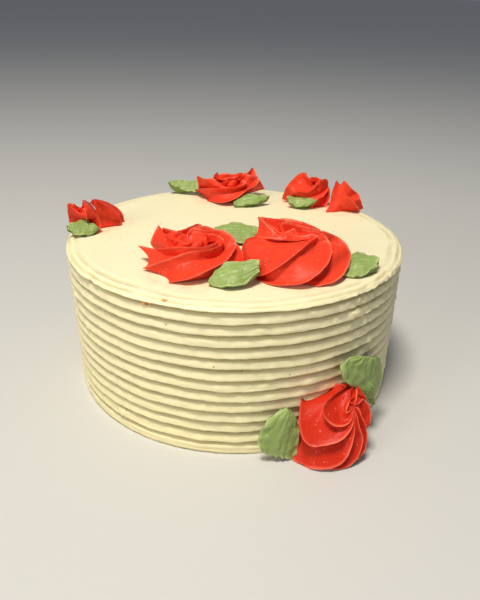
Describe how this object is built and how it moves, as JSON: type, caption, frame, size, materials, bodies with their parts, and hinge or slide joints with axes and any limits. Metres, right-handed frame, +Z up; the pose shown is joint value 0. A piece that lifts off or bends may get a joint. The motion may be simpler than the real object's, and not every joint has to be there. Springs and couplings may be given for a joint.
{
  "type": "striped cake",
  "caption": "Round ivory buttercream cake with level combed ridges round its side, red piped roses and green piped leaves.",
  "frame": {"origin": "centre of the cake's flat underside", "axes": "+Z up, -Y to the front, where the two largest roses are, +X to the viewer's right"},
  "size_m": [0.2056, 0.2166, 0.1125],
  "materials": {
    "icing": "satin",
    "rose": "satin",
    "leaf": "satin"
  },
  "bodies": {
    "root": {"cake": "icing", "rose_front_left": "rose", "rose_front_right": "rose", "rose_back": "rose", "rose_right_large": "rose", "rose_right_small": "rose", "rose_left_outer": "rose", "rose_left_inner": "rose", "rose_side": "rose", "leaf_front": "leaf", "leaf_middle": "leaf", "leaf_right": "leaf", "leaf_back_left": "leaf", "leaf_back_front": "leaf", "leaf_right_front": "leaf", "leaf_left_front": "leaf", "leaf_side_low": "leaf", "leaf_side_high": "leaf"}
  },
  "joints": []
}
